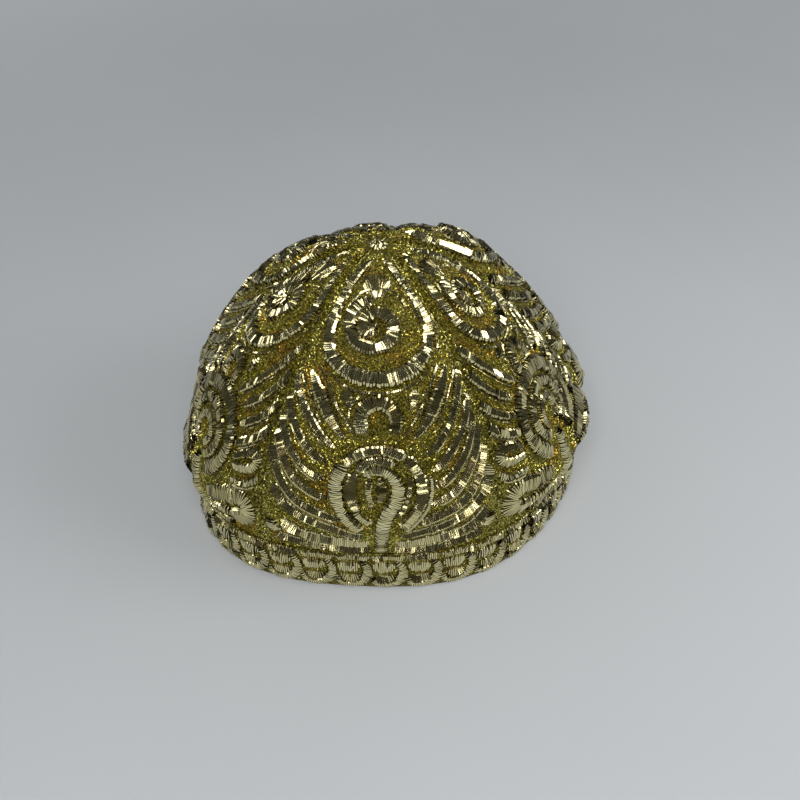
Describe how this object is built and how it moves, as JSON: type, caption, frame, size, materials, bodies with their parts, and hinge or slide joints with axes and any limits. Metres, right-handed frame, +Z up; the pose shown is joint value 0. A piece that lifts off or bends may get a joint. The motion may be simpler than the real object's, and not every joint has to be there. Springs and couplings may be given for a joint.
{
  "type": "embroidered cap",
  "caption": "Soft dome cap of puffed gores on a headband, covered in padded metallic gold thread embroidery, worn on the crown of the head.",
  "frame": {"origin": "Centre of the cap's bounding box in plan, on the plane of the headband's lower edge.", "axes": "+Z up through the crown's tip, front of the cap towards -Y, +X to the wearer's left, across the head."},
  "size_m": [0.2004, 0.1755, 0.1413],
  "materials": {
    "gold_ground": "granular metallic thread ground, antique olive gold, sparkling",
    "gold_satin_stitch": "padded satin stitches of flat metallic thread, pale gold",
    "gold_braid": "narrow twisted metallic braid",
    "headband_satin": "metallic thread embroidery in repeated blocks",
    "lining_satin": "smooth satin lining",
    "stiff_canvas": "plain stiff canvas",
    "grosgrain": "ribbed ribbon"
  },
  "bodies": {
    "root": {"headband": "headband_satin", "headband_interlining": "stiff_canvas", "sweatband": "grosgrain", "headband_edge_braid": "gold_braid", "tip_rosette": "gold_braid", "gore_left": "gold_ground", "lining_left": "lining_satin", "seam_braid_right_of_left": "gold_braid", "teardrop_left": "gold_satin_stitch", "coil_left": "gold_satin_stitch", "scroll_left": "gold_satin_stitch", "eye_loop_left": "gold_satin_stitch", "eye_stem_left": "gold_satin_stitch", "gore_front": "gold_ground", "lining_front": "lining_satin", "seam_braid_right_of_front": "gold_braid", "teardrop_front": "gold_satin_stitch", "coil_front": "gold_satin_stitch", "scroll_front": "gold_satin_stitch", "eye_loop_front": "gold_satin_stitch", "eye_stem_front": "gold_satin_stitch", "gore_right": "gold_ground", "lining_right": "lining_satin", "seam_braid_right_of_right": "gold_braid", "teardrop_right": "gold_satin_stitch", "coil_right": "gold_satin_stitch", "scroll_right": "gold_satin_stitch", "eye_loop_right": "gold_satin_stitch", "eye_stem_right": "gold_satin_stitch", "gore_back_right": "gold_ground", "lining_back_right": "lining_satin", "seam_braid_right_of_back_right": "gold_braid", "teardrop_back_right": "gold_satin_stitch", "coil_back_right": "gold_satin_stitch", "scroll_back_right": "gold_satin_stitch", "eye_loop_back_right": "gold_satin_stitch", "eye_stem_back_right": "gold_satin_stitch", "gore_back": "gold_ground", "lining_back": "lining_satin", "seam_braid_right_of_back": "gold_braid", "teardrop_back": "gold_satin_stitch", "coil_back": "gold_satin_stitch", "scroll_back": "gold_satin_stitch", "eye_loop_back": "gold_satin_stitch", "eye_stem_back": "gold_satin_stitch", "gore_back_left": "gold_ground", "lining_back_left": "lining_satin", "seam_braid_right_of_back_left": "gold_braid", "teardrop_back_left": "gold_satin_stitch", "coil_back_left": "gold_satin_stitch", "scroll_back_left": "gold_satin_stitch", "eye_loop_back_left": "gold_satin_stitch", "eye_stem_back_left": "gold_satin_stitch"}
  },
  "joints": []
}
